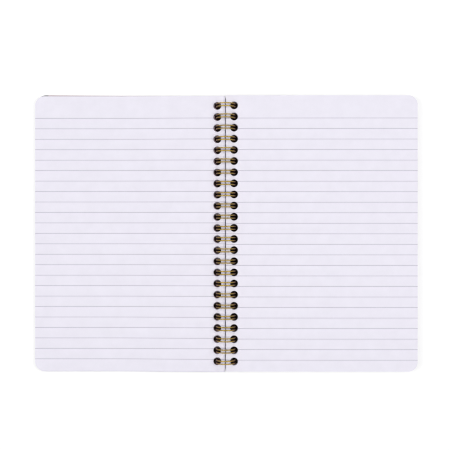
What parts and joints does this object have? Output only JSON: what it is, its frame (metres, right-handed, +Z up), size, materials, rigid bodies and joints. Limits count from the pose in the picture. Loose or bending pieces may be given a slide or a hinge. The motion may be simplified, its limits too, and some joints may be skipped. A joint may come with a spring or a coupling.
{
  "type": "open spiral notebook",
  "caption": "Twin-loop wire-bound notebook lying open, with a stack of ruled leaves and a card cover on each side of the loops.",
  "frame": {"origin": "on the table under the middle of the loops: x is 0 on the line between the two stacks of leaves, y is 0 halfway up the spine, z is 0 on the table", "axes": "+X to the right across the open spread, +Y up the page along the spine, +Z up from the table"},
  "size_m": [0.292, 0.2111, 0.0151],
  "materials": {
    "gold_wire": "plated steel wire, satin",
    "ruled_paper": "uncoated writing paper with pale grey ruling",
    "front_card": "matt laminated card, dusty rose with a charcoal corner",
    "back_card": "matt laminated card, dusty rose"
  },
  "bodies": {
    "spine": {"binding_wire": "gold_wire", "right_pages": "ruled_paper"},
    "left_leaves": {"left_pages": "ruled_paper"},
    "front": {"front_cover": "front_card"},
    "back": {"back_cover": "back_card"}
  },
  "joints": [
    {"name": "front_cover_turn", "type": "hinge", "parent": "spine", "child": "front", "pos_m": [0, 0, 0.00755], "axis": [0, 1, 0], "range_deg": [0, 181]},
    {"name": "left_pages_turn", "type": "hinge", "parent": "spine", "child": "left_leaves", "pos_m": [0, 0, 0.00755], "axis": [0, 1, 0], "range_deg": [0, 181]},
    {"name": "back_cover_turn", "type": "hinge", "parent": "spine", "child": "back", "pos_m": [0, 0, 0.00755], "axis": [0, 1, 0], "range_deg": [0, 20]}
  ],
  "couplings": [
    {"joint": "front_cover_turn", "follows": "left_pages_turn", "ratio": 1}
  ]
}
